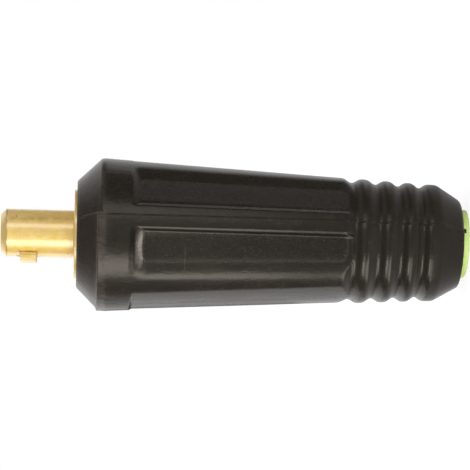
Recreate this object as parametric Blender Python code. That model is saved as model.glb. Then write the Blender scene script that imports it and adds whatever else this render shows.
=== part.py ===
# Male welding-cable plug: a brass bayonet contact in a ribbed rubber sleeve.
# Metres, +Z up. The plug stands on its cable end with the pin up, and the origin is on its axis at the floor.
# One parting band of the sleeve faces -Y, the bayonet lug faces -X, and the clamp screws face +X.

from math import atan2, cos, pi, radians, sin, tan

import bmesh
import bpy
from mathutils import Matrix, Vector

# Stack along the axis, from the pin tip down
PIN_LENGTH = 0.0201
FLANGE_PROUD = 0.0007
SLEEVE_LENGTH = 0.1064
LINER_PROUD = 0.0015

# Brass contact
PIN_DIAMETER = 0.0130
PIN_TIP_CHAMFER = 0.00135
LUG_SETBACK = 0.0054
LUG_LENGTH = 0.00456
LUG_HEIGHT = 0.00165
LUG_HALF_ANGLE = radians(22.5)
FLANGE_DIAMETER = 0.0244
FLANGE_THICKNESS = 0.0026
HEX_ACROSS_FLATS = 0.0205
HEX_LENGTH = 0.0120
BARREL_DIAMETER = 0.0200
BARREL_LENGTH = 0.0353
BARREL_END_CHAMFER = 0.0008
WIRE_SOCKET_DIAMETER = 0.0120
WIRE_SOCKET_HEADROOM = 0.0110
DRILL_POINT_ANGLE = radians(118)
SNAP_RIDGE_HEIGHT = 0.00045
SNAP_RIDGE_LENGTH = 0.0030
SNAP_RIDGE_SETBACK = 0.0012

# Clamp screws and the ferrule that they press on
SCREW_DIAMETER = 0.0080
SCREW_LENGTH = 0.0060
SCREW_TIP_CHAMFER = 0.0008
SCREW_HEAD_CHAMFER = 0.0004
SCREW_KEY_ACROSS_FLATS = 0.0040
SCREW_KEY_DEPTH = 0.0035
SCREW_SPACING = 0.0120
FRONT_SCREW_SETBACK = 0.0103
SCREW_TRAVEL = 0.0026
FERRULE_PLAY = 0.0016
FERRULE_WALL = 0.0005
FERRULE_SLIT = 0.0012
FERRULE_SETBACK = 0.0010
FERRULE_HEADROOM = 0.0050

# Outside of the sleeve: nose, tapered grip, ribbed bend relief and tail
NOSE_FACE_LIP = 0.0019
NOSE_CHAMFER_LENGTH = 0.0061
NOSE_STEP_LENGTH = 0.0002
NOSE_STEP_HEIGHT = 0.0008
NOSE_LAND_LENGTH = 0.0011
NOSE_LAND_FALL = 0.00015
GRIP_DIAMETER = 0.0421
LAST_RIB_DIAMETER = 0.03225
RIB_COUNT = 4
RIB_PITCH = 0.0065
RIB_DEPTH = 0.00107
RIB_SHARPNESS = 1.6
TAIL_STEP = 0.0003
TAIL_SHOULDER = 0.0015
TAIL_CONE_LENGTH = 0.0069
TAIL_LIP = 0.0021
TAIL_EDGE_RADIUS = 0.0020

# Flat panels sunk in the grip: two beside each parting band, and one on each side
PANEL_SETBACK = 0.0144
PANEL_RUN_OUT = 0.0004
GRIP_PANEL_ANGLE = radians(25)
GRIP_PANEL_DEPTH = 0.00165
GRIP_PANEL_END_RADIUS = 0.0020
SIDE_PANEL_DEPTH = 0.0018
SIDE_PANEL_END_RADIUS = 0.0005
BAND_TOP_HALF_ANGLE = radians(10.2)
BAND_FOOT_HALF_ANGLE = radians(14.4)

# Liner in the cable entry
LINER_DIAMETER = 0.0188
LINER_WALL = 0.00215
LINER_MOUTH_CHAMFER = 0.0008
LINER_EDGE_CHAMFER = 0.0003

# Clearances between neighbours
FIT = 0.0003
THREAD_FIT = 0.0003
KEYWAY_FIT = 0.0007
KEYWAY_END_MARGIN = 0.0020

# Facets
SEGMENTS = 60
SMALL_SEGMENTS = 32
RIB_STEPS = 6
EDGE_STEPS = 3
BEVEL_STEPS = 2
LUG_STEPS = 6
WELD_DISTANCE = 0.000001
SMOOTH_ANGLE = radians(35)

# Cutters and joined shapes run past the faces they meet, by a length or by a share of a radius
FUSE = 0.0006
CUTTER_REACH = 0.0030
CUTTER_SPREAD = 0.7
CUTTER_RISE = 0.4
WALL_STRETCH = 2.5

# A round takes at most this share of the lip that carries it
EDGE_SHARE = 0.7

# Heights of the main faces
sleeve_rear = LINER_PROUD
sleeve_front = sleeve_rear + SLEEVE_LENGTH
flange_front = sleeve_front + FLANGE_PROUD
flange_rear = flange_front - FLANGE_THICKNESS
pin_tip = flange_front + PIN_LENGTH
hex_rear = flange_rear - HEX_LENGTH
barrel_rear = hex_rear - BARREL_LENGTH
front_screw_height = hex_rear - FRONT_SCREW_SETBACK
rear_screw_height = front_screw_height - SCREW_SPACING
wire_socket_floor = front_screw_height + WIRE_SOCKET_HEADROOM
liner_front = barrel_rear - 2 * FIT
cone_top = sleeve_rear + TAIL_CONE_LENGTH
last_rib = cone_top + TAIL_SHOULDER
ribs_top = last_rib + RIB_COUNT * RIB_PITCH
first_valley = ribs_top - RIB_PITCH / 2
grip_front = sleeve_front - NOSE_CHAMFER_LENGTH - NOSE_STEP_LENGTH - NOSE_LAND_LENGTH
panel_front = sleeve_front - PANEL_SETBACK
panel_rear = first_valley - PANEL_RUN_OUT

# The ferrule lies against the socket wall away from the screws, and the screw tips stop at it
ferrule_radius = WIRE_SOCKET_DIAMETER / 2 - FIT - FERRULE_PLAY / 2
ferrule_offset = -FERRULE_PLAY / 2
screw_tip = ferrule_offset + ferrule_radius + FIT
screw_head = screw_tip + SCREW_LENGTH

# Radii that neighbours share
flange_seat = FLANGE_DIAMETER / 2 + FIT
barrel_seat = BARREL_DIAMETER / 2 + FIT
liner_seat = LINER_DIAMETER / 2 + FIT


def clear_scene():
    for item in list(bpy.data.objects):
        bpy.data.objects.remove(item, do_unlink=True)


def make_material(name, colour, roughness, metallic):
    material = bpy.data.materials.new(name)
    material.use_nodes = True
    shader = material.node_tree.nodes["Principled BSDF"]
    shader.inputs["Base Color"].default_value = (*colour, 1.0)
    shader.inputs["Roughness"].default_value = roughness
    shader.inputs["Metallic"].default_value = metallic
    material.diffuse_color = (*colour, 1.0)
    return material


def to_object(shape, name):
    bmesh.ops.remove_doubles(shape, verts=shape.verts, dist=WELD_DISTANCE)
    bmesh.ops.recalc_face_normals(shape, faces=shape.faces)
    mesh = bpy.data.meshes.new(name)
    shape.to_mesh(mesh)
    shape.free()
    piece = bpy.data.objects.new(name, mesh)
    bpy.context.scene.collection.objects.link(piece)
    return piece


# A section of (radius, height) points turned about Z; an open section starts and ends on the axis.
# It starts half a facet round, so that no edge of it meets a corner of a hexagon
def turned(name, section, closed, steps=SEGMENTS):
    shape = bmesh.new()
    start = Vector((cos(pi / steps), sin(pi / steps), 0.0))
    corners = [shape.verts.new(start * radius + Vector((0.0, 0.0, height))) for radius, height in section]
    lines = [shape.edges.new(pair) for pair in zip(corners, corners[1:])]
    if closed:
        lines.append(shape.edges.new((corners[-1], corners[0])))
    bmesh.ops.spin(
        shape, geom=corners + lines, cent=(0, 0, 0), axis=(0, 0, 1), dvec=(0, 0, 0),
        angle=2 * pi, steps=steps, use_merge=True, use_duplicate=False,
    )
    return to_object(shape, name)


# Two rings of matching corners joined into a closed block, with chosen edges rounded
def lofted(name, lower_ring, upper_ring, rounded_edges=(), radius=0.0):
    shape = bmesh.new()
    lower = [shape.verts.new(point) for point in lower_ring]
    upper = [shape.verts.new(point) for point in upper_ring]
    shape.faces.new(lower)
    shape.faces.new(upper)
    count = len(lower)
    for index in range(count):
        following = (index + 1) % count
        shape.faces.new((lower[index], lower[following], upper[following], upper[index]))
    if rounded_edges:
        rings = {"lower": lower, "upper": upper}
        picked = []
        for first_ring, first, second_ring, second in rounded_edges:
            picked.append(shape.edges.get((rings[first_ring][first], rings[second_ring][second])))
        bmesh.ops.bevel(
            shape, geom=picked, offset=radius, offset_type="OFFSET", segments=BEVEL_STEPS,
            profile=0.5, affect="EDGES",
        )
    return to_object(shape, name)


def prism(name, outline, bottom, top):
    return lofted(name, [(x, y, bottom) for x, y in outline], [(x, y, top) for x, y in outline])


def hexagon(across_flats):
    corner = across_flats / 2 / cos(pi / 6)
    return [(corner * cos(turn * pi / 3 + pi / 6), corner * sin(turn * pi / 3 + pi / 6)) for turn in range(6)]


def arc(radius, start, end, steps, centre=0.0):
    angles = [start + (end - start) * step / steps for step in range(steps + 1)]
    return [(centre + radius * cos(angle), radius * sin(angle)) for angle in angles]


def combine(piece, operation, tools):
    for tool in tools:
        modifier = piece.modifiers.new(operation.lower(), "BOOLEAN")
        modifier.operation = operation
        modifier.solver = "EXACT"
        modifier.object = tool
    bpy.context.view_layer.update()
    depsgraph = bpy.context.evaluated_depsgraph_get()
    result = bpy.data.meshes.new_from_object(piece.evaluated_get(depsgraph))
    piece.modifiers.clear()
    result.name = piece.name
    piece.data = result
    for tool in tools:
        bpy.data.objects.remove(tool, do_unlink=True)


def finish(piece, material, parent):
    piece.data.materials.clear()
    piece.data.materials.append(material)
    piece.data.shade_smooth()
    piece.data.set_sharp_from_angle(angle=SMOOTH_ANGLE)
    piece.parent = parent


# Radius of the sleeve's straight taper at a height
def taper_radius(height):
    share = (height - last_rib) / (grip_front - last_rib)
    return LAST_RIB_DIAMETER / 2 + (GRIP_DIAMETER - LAST_RIB_DIAMETER) / 2 * share


# Radius of the ribbed stretch, whose valleys are narrower than its crests
def ribbed_radius(height):
    phase = 2 * pi * (height - first_valley) / RIB_PITCH
    return taper_radius(height) - RIB_DEPTH * ((1 + cos(phase)) / 2) ** RIB_SHARPNESS


# The tail cone and its rounded edge, from the rear face up; the round is limited by the lip
def tail_outside():
    cone_radius = LAST_RIB_DIAMETER / 2 - TAIL_STEP
    corner_radius = liner_seat + TAIL_LIP
    turn = pi / 2 - atan2(cone_radius - corner_radius, TAIL_CONE_LENGTH)
    edge_radius = min(TAIL_EDGE_RADIUS, EDGE_SHARE * TAIL_LIP / tan(turn / 2))
    centre_radius = corner_radius - edge_radius * tan(turn / 2)
    centre_height = sleeve_rear + edge_radius
    points = []
    for step in range(EDGE_STEPS + 1):
        angle = -pi / 2 + turn * step / EDGE_STEPS
        points.append((centre_radius + edge_radius * cos(angle), centre_height + edge_radius * sin(angle)))
    points.append((cone_radius, cone_top))
    return points


def sleeve_outside():
    points = tail_outside()
    for step in range(RIB_COUNT * RIB_STEPS + 1):
        height = last_rib + RIB_PITCH * step / RIB_STEPS
        points.append((ribbed_radius(height), height))
    land_radius = GRIP_DIAMETER / 2 - NOSE_LAND_FALL
    points.append((GRIP_DIAMETER / 2, grip_front))
    points.append((land_radius, grip_front + NOSE_LAND_LENGTH))
    points.append((land_radius - NOSE_STEP_HEIGHT, sleeve_front - NOSE_CHAMFER_LENGTH))
    points.append((flange_seat + NOSE_FACE_LIP, sleeve_front))
    return points


# The bore follows the contact and the liner, each a fit larger
def sleeve_inside():
    groove_seat = barrel_seat + SNAP_RIDGE_HEIGHT
    groove_bottom = barrel_rear + SNAP_RIDGE_SETBACK - FIT
    groove_top = groove_bottom + SNAP_RIDGE_LENGTH + 2 * FIT
    return [
        (flange_seat, sleeve_front),
        (flange_seat, flange_rear - FIT),
        (barrel_seat, flange_rear - FIT),
        (barrel_seat, groove_top),
        (groove_seat, groove_top),
        (groove_seat, groove_bottom),
        (barrel_seat, groove_bottom),
        (barrel_seat, barrel_rear - FIT),
        (liner_seat, barrel_rear - FIT),
        (liner_seat, sleeve_rear),
    ]


# Cutter for a flat panel: its floor follows the taper, and one side may be the wall of a parting band
def panel_cutter(name, facing, depth, end_radius, band_side=0):
    rings = []
    for height in (panel_rear, panel_front):
        outer = taper_radius(height)
        floor = outer - depth
        normal = Vector((cos(facing), sin(facing), 0.0))
        along = Vector((-sin(facing), cos(facing), 0.0))
        lift = Vector((0.0, 0.0, height))
        spread = along * outer * CUTTER_SPREAD
        rise = normal * outer * CUTTER_RISE
        near = normal * floor - spread
        near_top = near + rise
        far = normal * floor + spread
        far_top = far + rise
        if band_side:
            band = facing - band_side * GRIP_PANEL_ANGLE
            foot_angle = band + band_side * BAND_FOOT_HALF_ANGLE
            top_angle = band + band_side * BAND_TOP_HALF_ANGLE
            foot_reach = floor / cos(GRIP_PANEL_ANGLE - BAND_FOOT_HALF_ANGLE)
            foot = Vector((cos(foot_angle), sin(foot_angle), 0.0)) * foot_reach
            top = Vector((cos(top_angle), sin(top_angle), 0.0)) * outer
            beyond = foot + (top - foot) * WALL_STRETCH
            if band_side > 0:
                near, near_top = foot, beyond
            else:
                far, far_top = foot, beyond
        rings.append([point + lift for point in (near, near_top, far_top, far)])
    rounded = [("upper", 0, "upper", 3)]
    if band_side > 0:
        rounded.append(("lower", 0, "upper", 0))
        rounded.append(("upper", 0, "upper", 1))
    if band_side < 0:
        rounded.append(("lower", 3, "upper", 3))
        rounded.append(("upper", 2, "upper", 3))
    return lofted(name, rings[0], rings[1], rounded, end_radius)


def panel_cutters():
    cutters = []
    for band in (-pi / 2, pi / 2):
        for band_side in (-1, 1):
            facing = band + band_side * GRIP_PANEL_ANGLE
            cutters.append(
                panel_cutter("grip_panel", facing, GRIP_PANEL_DEPTH, GRIP_PANEL_END_RADIUS, band_side)
            )
        cutters.append(panel_cutter("side_panel", band + pi / 2, SIDE_PANEL_DEPTH, SIDE_PANEL_END_RADIUS))
    return cutters


def rubber_sleeve(material, parent):
    piece = turned("rubber_sleeve", sleeve_outside() + sleeve_inside(), closed=True)
    hex_pocket = prism(
        "hex_pocket", hexagon(HEX_ACROSS_FLATS + 2 * FIT), hex_rear - FIT, flange_rear + FUSE + FIT
    )
    half_width = SCREW_DIAMETER / 2 + KEYWAY_FIT
    reach = screw_head + SCREW_TRAVEL + FIT
    keyway = prism(
        "screw_keyway",
        [(0.0, -half_width), (reach, -half_width), (reach, half_width), (0.0, half_width)],
        rear_screw_height - half_width - KEYWAY_END_MARGIN,
        hex_rear + FUSE,
    )
    combine(piece, "DIFFERENCE", [hex_pocket, keyway] + panel_cutters())
    finish(piece, material, parent)


def contact_section():
    pin = PIN_DIAMETER / 2
    barrel = BARREL_DIAMETER / 2
    ridge = barrel + SNAP_RIDGE_HEIGHT
    socket = WIRE_SOCKET_DIAMETER / 2
    ridge_bottom = barrel_rear + SNAP_RIDGE_SETBACK
    ridge_top = ridge_bottom + SNAP_RIDGE_LENGTH
    return [
        (0.0, pin_tip),
        (pin - PIN_TIP_CHAMFER, pin_tip),
        (pin, pin_tip - PIN_TIP_CHAMFER),
        (pin, flange_front),
        (FLANGE_DIAMETER / 2, flange_front),
        (FLANGE_DIAMETER / 2, flange_rear),
        (barrel, flange_rear),
        (barrel, ridge_top),
        (ridge, ridge_top - SNAP_RIDGE_HEIGHT),
        (ridge, ridge_bottom + SNAP_RIDGE_HEIGHT),
        (barrel, ridge_bottom),
        (barrel, barrel_rear + BARREL_END_CHAMFER),
        (barrel - BARREL_END_CHAMFER, barrel_rear),
        (socket, barrel_rear),
        (socket, wire_socket_floor),
        (0.0, wire_socket_floor + socket / tan(DRILL_POINT_ANGLE / 2)),
    ]


def bayonet_lug():
    pin = PIN_DIAMETER / 2
    outside = arc(pin + LUG_HEIGHT, pi - LUG_HALF_ANGLE, pi + LUG_HALF_ANGLE, LUG_STEPS)
    inside = arc(pin - FUSE, pi + LUG_HALF_ANGLE, pi - LUG_HALF_ANGLE, LUG_STEPS)
    lug_top = pin_tip - LUG_SETBACK
    return prism("bayonet_lug", outside + inside, lug_top - LUG_LENGTH, lug_top)


def screw_hole(height):
    shape = bmesh.new()
    start = WIRE_SOCKET_DIAMETER / 4
    length = HEX_ACROSS_FLATS / 2 + CUTTER_REACH - start
    place = Matrix.Translation((start + length / 2, 0.0, height))
    place = place @ Matrix.Rotation(pi / 2, 4, "Y") @ Matrix.Rotation(pi / SMALL_SEGMENTS, 4, "Z")
    radius = SCREW_DIAMETER / 2 + THREAD_FIT
    bmesh.ops.create_cone(
        shape, cap_ends=True, segments=SMALL_SEGMENTS, radius1=radius, radius2=radius, depth=length,
        matrix=place,
    )
    return to_object(shape, "screw_hole")


def contact_body(material, parent):
    piece = turned("contact_body", contact_section(), closed=False)
    hex_collar = prism("hex_collar", hexagon(HEX_ACROSS_FLATS), hex_rear, flange_rear + FUSE)
    combine(piece, "UNION", [hex_collar, bayonet_lug()])
    combine(piece, "DIFFERENCE", [screw_hole(front_screw_height), screw_hole(rear_screw_height)])
    finish(piece, material, parent)


# A set screw along its own Z, key socket up, with its origin at the middle of its outer face
def clamp_screw(name, height, material, parent):
    radius = SCREW_DIAMETER / 2
    section = [
        (0.0, 0.0),
        (radius - SCREW_HEAD_CHAMFER, 0.0),
        (radius, -SCREW_HEAD_CHAMFER),
        (radius, SCREW_TIP_CHAMFER - SCREW_LENGTH),
        (radius - SCREW_TIP_CHAMFER, -SCREW_LENGTH),
        (0.0, -SCREW_LENGTH),
    ]
    piece = turned(name, section, closed=False, steps=SMALL_SEGMENTS)
    key_socket = prism("key_socket", hexagon(SCREW_KEY_ACROSS_FLATS), -SCREW_KEY_DEPTH, FUSE)
    combine(piece, "DIFFERENCE", [key_socket])
    finish(piece, material, parent)
    piece.location = (screw_head, 0.0, height)
    piece.rotation_euler = (0.0, pi / 2, 0.0)


# A strip of sheet rolled to a tube that does not quite close
def strand_ferrule(material, parent):
    half_slit = FERRULE_SLIT / 2 / ferrule_radius
    end = pi - half_slit
    outside = arc(ferrule_radius, -end, end, SMALL_SEGMENTS, ferrule_offset)
    inside = arc(ferrule_radius - FERRULE_WALL, end, -end, SMALL_SEGMENTS, ferrule_offset)
    bottom = barrel_rear + FERRULE_SETBACK
    piece = prism("strand_ferrule", outside + inside, bottom, wire_socket_floor - FERRULE_HEADROOM)
    finish(piece, material, parent)


def cable_liner(material, parent):
    outer = LINER_DIAMETER / 2
    inner = outer - LINER_WALL
    section = [
        (inner + LINER_MOUTH_CHAMFER, 0.0),
        (outer - LINER_EDGE_CHAMFER, 0.0),
        (outer, LINER_EDGE_CHAMFER),
        (outer, liner_front - LINER_EDGE_CHAMFER),
        (outer - LINER_EDGE_CHAMFER, liner_front),
        (inner, liner_front),
        (inner, LINER_MOUTH_CHAMFER),
    ]
    piece = turned("cable_liner", section, closed=True)
    finish(piece, material, parent)


def main():
    clear_scene()
    plug = bpy.data.objects.new("plug", None)
    bpy.context.scene.collection.objects.link(plug)
    steel = make_material("screw_steel", (0.30, 0.30, 0.31), 0.35, 1.0)
    contact_body(make_material("contact_brass", (0.80, 0.58, 0.22), 0.25, 1.0), plug)
    clamp_screw("clamp_screw_front", front_screw_height, steel, plug)
    clamp_screw("clamp_screw_rear", rear_screw_height, steel, plug)
    strand_ferrule(make_material("ferrule_copper", (0.80, 0.40, 0.25), 0.30, 1.0), plug)
    rubber_sleeve(make_material("sleeve_rubber", (0.045, 0.038, 0.032), 0.55, 0.0), plug)
    cable_liner(make_material("liner_green", (0.56, 0.80, 0.18), 0.45, 0.0), plug)


main()
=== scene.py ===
# Looks of a male welding-cable plug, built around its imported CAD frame.
# Metres, +Z up: the plug stands on its cable end, pin up, and the camera is rolled as in the photograph.
# One parting band of the sleeve faces -Y, the bayonet lug -X and the clamp screws +X.

from math import atan2, cos, pi, radians, sin, tan

import bmesh
import bpy
from mathutils import Matrix, Vector


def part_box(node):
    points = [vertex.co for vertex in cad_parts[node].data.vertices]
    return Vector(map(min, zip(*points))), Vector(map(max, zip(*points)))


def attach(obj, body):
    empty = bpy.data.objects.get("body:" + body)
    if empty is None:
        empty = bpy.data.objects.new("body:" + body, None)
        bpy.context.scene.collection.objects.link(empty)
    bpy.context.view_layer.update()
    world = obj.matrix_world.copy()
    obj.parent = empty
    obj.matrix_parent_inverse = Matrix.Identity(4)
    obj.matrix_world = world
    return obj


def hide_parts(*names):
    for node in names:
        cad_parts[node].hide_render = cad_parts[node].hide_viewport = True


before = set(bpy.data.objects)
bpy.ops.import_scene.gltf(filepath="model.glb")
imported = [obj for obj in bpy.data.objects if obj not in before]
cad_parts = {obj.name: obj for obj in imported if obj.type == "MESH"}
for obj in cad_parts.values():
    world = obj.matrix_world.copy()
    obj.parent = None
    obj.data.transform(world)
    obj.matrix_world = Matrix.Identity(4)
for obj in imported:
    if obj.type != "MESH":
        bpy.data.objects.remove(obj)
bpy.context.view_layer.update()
bpy.context.scene.view_settings.view_transform = "Standard"


# A node's output that Python's operators work on, each adding one Math node
class Wire:
    def __init__(self, net, socket):
        self.net = net
        self.socket = socket

    def __add__(self, other):
        return self.net.math("ADD", self, other)

    def __radd__(self, other):
        return self.net.math("ADD", other, self)

    def __sub__(self, other):
        return self.net.math("SUBTRACT", self, other)

    def __rsub__(self, other):
        return self.net.math("SUBTRACT", other, self)

    def __mul__(self, other):
        return self.net.math("MULTIPLY", self, other)

    def __rmul__(self, other):
        return self.net.math("MULTIPLY", other, self)

    def __truediv__(self, other):
        return self.net.math("DIVIDE", self, other)

    def __rtruediv__(self, other):
        return self.net.math("DIVIDE", other, self)

    def __pow__(self, other):
        return self.net.math("POWER", self, other)

    def __neg__(self):
        return self.net.math("MULTIPLY", self, -1.0)

    def __abs__(self):
        return self.net.math("ABSOLUTE", self)


# A node tree, with one way of adding a node and short names for the common ones
class Net:
    def __init__(self, tree):
        self.tree = tree

    def feed(self, socket, value):
        if isinstance(value, Wire):
            self.tree.links.new(value.socket, socket)
        else:
            socket.default_value = value

    def node(self, kind, settings=None, values=None):
        made = self.tree.nodes.new(kind)
        for name, value in (settings or {}).items():
            setattr(made, name, value)
        for name, value in (values or {}).items():
            self.feed(made.inputs[name], value)
        return made

    def wire(self, kind, settings=None, values=None, output=0):
        return Wire(self, self.node(kind, settings, values).outputs[output])

    def math(self, operation, *values):
        return self.wire("ShaderNodeMath", {"operation": operation}, dict(enumerate(values)))

    def least(self, first, second):
        return self.math("MINIMUM", first, second)

    def most(self, first, second):
        return self.math("MAXIMUM", first, second)

    def bounded(self, value):
        return self.wire("ShaderNodeClamp", None, {0: value})

    def ease(self, value, low, high):                     # 0 below low, 1 above high, smooth between
        ranged = {"interpolation_type": "SMOOTHSTEP"}
        return self.wire("ShaderNodeMapRange", ranged, {0: value, 1: low, 2: high, 3: 0.0, 4: 1.0})

    def between(self, value, rise, fall):                 # rises over one pair, falls over the other
        return self.ease(value, *rise) * (1 - self.ease(value, *fall))

    def reach(self, across, along):                       # length of a flat vector
        return self.math("SQRT", across * across + along * along)

    def vector(self, x, y, z):
        return self.wire("ShaderNodeCombineXYZ", None, {0: x, 1: y, 2: z})

    def parts(self, vector):                              # x, y and z of a vector
        split = self.node("ShaderNodeSeparateXYZ", None, {0: vector})
        return [Wire(self, output) for output in split.outputs]

    def tint(self, factor, first, second):                # mixes two colours
        return self.wire("ShaderNodeMix", {"data_type": "RGBA"}, {0: factor, 6: first, 7: second}, 2)

    def noise(self, place, scale, detail, roughness, stretch=None, seed=0.0):
        if stretch:
            place = self.wire("ShaderNodeVectorMath", {"operation": "MULTIPLY"}, {0: place, 1: stretch})
        wanted = {0: place, "W": seed, "Scale": scale, "Detail": detail, "Roughness": roughness}
        return self.wire("ShaderNodeTexNoise", {"noise_dimensions": "4D"}, wanted)

    def place(self):
        return self.wire("ShaderNodeTexCoord", None, None, 3)

    def attribute(self, name):
        return self.wire("ShaderNodeAttribute", {"attribute_name": name}, None, 2)

    def bump(self, height):                               # the height is in metres
        return self.wire("ShaderNodeBump", None, {"Height": height, "Distance": 1.0, "Strength": 1.0})


# Heights and radii that the pieces and finishes share, most of them read from the frame

def span(node):
    low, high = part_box(node)
    return low.z, high.z


contactFoot, pinTop = span("contact_body")
pinTip = pinTop - 0.000001
sleeveFoot, sleeveTop = span("rubber_sleeve")
linerFoot, linerTop = span("cable_liner")
ferruleFoot, ferruleTop = span("strand_ferrule")
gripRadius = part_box("rubber_sleeve")[1].x - 0.0001
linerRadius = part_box("cable_liner")[1].y
screwBoxes = {name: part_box(name) for name in ("clamp_screw_front", "clamp_screw_rear")}
fit = 0.0003                                              # play between neighbours
lugTop = pinTip - 0.0054
lugFoot = lugTop - 0.00456
lugHalfAngle = radians(22.5)
mergeDistance = 0.000002                                  # points nearer than this are one


def screwMiddle(name):
    low, high = screwBoxes[name]
    return (low.z + high.z) / 2


# Materials

def clearNet(owner):                                      # of a new material or world
    owner.use_nodes = True
    owner.node_tree.nodes.clear()
    return Net(owner.node_tree)


def paint(name, describe):
    material = bpy.data.materials.new(name)
    net = clearNet(material)
    looks = describe(net)
    paintedShade = looks.pop("paintedShade", None)
    surface = net.wire("ShaderNodeBsdfPrincipled", None, looks)
    if paintedShade:                                            # painted shade: a dark matt shader is mixed in where the mask is set
        shadeShader = net.wire("ShaderNodeBsdfDiffuse", None, {"Color": rubber["dark"]})
        surface = net.wire("ShaderNodeMixShader", None, {0: paintedShade, 1: surface, 2: shadeShader})
    net.node("ShaderNodeOutputMaterial", None, {"Surface": surface})
    return material


rubber = dict(
    dark=(0.0050, 0.0036, 0.0024, 1.0),
    worn=(0.0125, 0.0092, 0.0064, 1.0),
    nose=(0.0260, 0.0110, 0.0070, 1.0),
    # pale colour of wear, a scratch and dust; it also paints highlights on the band edges, the lower panels'
    # front fillet and the wall foot, and glints on the grain
    wearAndHighlight=(0.1100, 0.0930, 0.0760, 1.0),
    sheen=(1.0, 0.91, 0.78, 1.0),
    roughness=0.27,
    panelRoughness=0.36,
    ior=1.43,
    cloudScale=75.0,
    grainScale=1900.0,
    grainHeight=0.00078,
    fleckScale=1500.0,
    fleckLevels=(0.56, 0.70),   # of the noise, where flecks begin and are full
    glintFleckShare=0.26,
    skinScale=700.0,
    skinHeight=0.00007,
    skinStretch=(1.0, 1.0, 0.35),
    dentScale=420.0,
    dentHeight=0.00020,
    ringScale=5200.0,
    ringHeight=0.00004,
    ringLevel=0.40,
    dustScale=520.0,
    dustLevels=(0.50, 0.72),
    dustShare=0.10,
    scratchHeight=0.0787,
    scratchWidth=0.00016,
    scratchStray=0.0006,
    scratchStart=(-0.0065, -0.0080),
    scratchEnd=(-0.0145, -0.0130),
    scratchShare=0.6,
    noseFoot=0.1008,
    noseTop=0.1020,
    ribsTop=0.0370,
    ribsFade=0.003,
    ribShine=0.06,
)


# One fine scratch across the lower panel
def scratchLooks(net, place, cloud, skin):
    x, y, z = net.parts(place)
    stray = abs(z - rubber["scratchHeight"] + (cloud - 0.5) * rubber["scratchStray"])
    scratch = net.ease(stray, rubber["scratchWidth"], 0.0) * net.ease(x, *rubber["scratchStart"])
    scratch = scratch * net.ease(x, *rubber["scratchEnd"])
    return scratch * net.ease(y, 0.0, -0.005) * net.ease(skin, 0.35, 0.55)


def rubberLooks(net):
    place = net.place()
    x, y, z = net.parts(place)
    panel = net.attribute("panel")
    # mask of painted shade on the band walls, the lower panels' front shoulder and the grip panels' grain; it
    # also places the dents
    paintedShade = net.attribute("paintedShade")
    nose = net.ease(z, rubber["noseFoot"], rubber["noseTop"])
    grain = net.noise(place, rubber["grainScale"], 3.0, 0.75)
    skin = net.noise(place, rubber["skinScale"], 3.0, 0.6, rubber["skinStretch"])
    cloud = net.noise(place, rubber["cloudScale"], 3.0, 0.6)
    dents = net.noise(place, rubber["dentScale"], 2.0, 0.6)
    # pale flecks on the panels: partly lighter grain, partly painted glints of the grain
    flecksAndGlints = net.ease(net.noise(place, rubber["fleckScale"], 2.0, 0.7), *rubber["fleckLevels"]) * panel
    dust = net.ease(net.noise(place, rubber["dustScale"], 4.0, 0.75, None, 5.0), *rubber["dustLevels"])
    rings = net.noise(net.vector(net.reach(x, y), 0.0, 0.0), rubber["ringScale"], 3.0, 0.7)
    height = (grain - 0.5) * panel * rubber["grainHeight"] + skin * rubber["skinHeight"]
    height = height + rings * nose * rubber["ringHeight"]
    height = height + dents * paintedShade * rubber["dentHeight"]
    share = net.bounded(cloud * 1.3 - 0.25 + flecksAndGlints * 0.9)
    colour = net.tint(share, rubber["dark"], rubber["worn"])
    colour = net.tint(net.bounded((rings - rubber["ringLevel"]) * nose * 4), colour, rubber["nose"])
    # pale marks: real wear, a scratch and dust, together with painted highlights and glints, all in the one
    # pale colour
    wearAndHighlight = net.bounded(net.attribute("wearAndHighlight") * (skin * 2.4 - 0.6))
    wearAndHighlight = net.most(wearAndHighlight, scratchLooks(net, place, cloud, skin) * rubber["scratchShare"])
    wearAndHighlight = net.most(wearAndHighlight, dust * rubber["dustShare"] + flecksAndGlints * rubber["glintFleckShare"])
    colour = net.tint(wearAndHighlight, colour, rubber["wearAndHighlight"])
    rough = rubber["roughness"] + (rubber["panelRoughness"] - rubber["roughness"]) * panel
    rough = rough + (cloud - 0.5) * 0.16 + (skin - 0.5) * 0.08 + (grain - 0.5) * panel * 0.5
    lower = net.ease(x, 0.004, -0.004) * 2 - 1
    ribs = net.ease(z, rubber["ribsTop"], rubber["ribsTop"] - rubber["ribsFade"])
    rough = rough - ribs * rubber["ribShine"] * lower
    return {
        "Base Color": colour,
        "Roughness": net.bounded(rough),
        "IOR": rubber["ior"],
        "Specular Tint": rubber["sheen"],
        "Normal": net.bump(height),
        "paintedShade": paintedShade,
    }


brass = dict(
    bright=(0.910, 0.660, 0.165, 1.0),
    deep=(0.800, 0.560, 0.070, 1.0),
    rosy=(0.910, 0.610, 0.210, 1.0),
    # colour of the tarnish and of the painted shade round the lug
    tarnishAndShade=(0.360, 0.240, 0.040, 1.0),
    roughness=0.63,
    lacquer=1.0,                # share of a clear coat, which adds a pale shine
    lacquerRoughness=0.22,
    lacquerIor=2.25,
    cloudScale=320.0,
    mottleScale=900.0,
    mottleHeight=0.000040,
    blushScale=260.0,
    blushLevels=(0.48, 0.62),
    blushShare=0.4,
    spotScale=420.0,
    spotLevels=(0.66, 0.78),
    streak=0.0022,              # place across the pin
    streakStray=0.0012,
    streakWidth=(0.00110, 0.00010),
    rimBack=0.00165,            # the dark line behind the tip
    rimWidth=(0.00028, 0.00008),
    lugRadius=0.0070,           # a little outside the pin, where the painted shade round the lug ends
    lugBeside=(0.00026, 0.00008),
    lugEnds=(0.00014, 0.00004),
    latheScale=2400.0,
    latheHeight=0.000015,
)
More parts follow.
